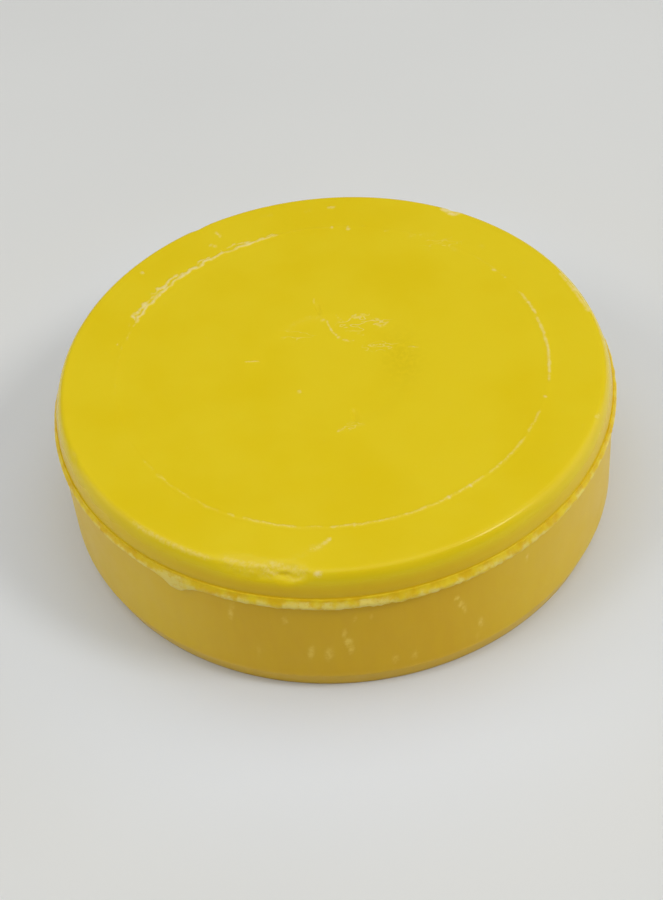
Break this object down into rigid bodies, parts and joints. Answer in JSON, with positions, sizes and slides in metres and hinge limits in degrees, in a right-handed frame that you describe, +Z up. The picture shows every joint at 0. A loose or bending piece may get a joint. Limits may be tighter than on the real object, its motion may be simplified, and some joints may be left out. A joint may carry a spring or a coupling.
{
  "type": "rosin cake",
  "caption": "Round puck of opaque waxy bow rosin with a ringed, slightly dished top, rounded shoulder, ragged mould flash and tapered foot.",
  "frame": {"origin": "centre of the flat underside, where the cake rests", "axes": "+Z up through the middle of the cake, out of the ringed top face; the torn flap of flash points towards -X and -Y"},
  "size_m": [0.0508, 0.0508, 0.0146],
  "materials": {
    "rosin": "opaque waxy yellow, satin, with pale powdery scuffs",
    "flash": "the same rosin, torn thin and paler, powdery and rough"
  },
  "bodies": {
    "root": {"rosin_cake": "rosin", "mould_flash": "flash"}
  },
  "joints": []
}
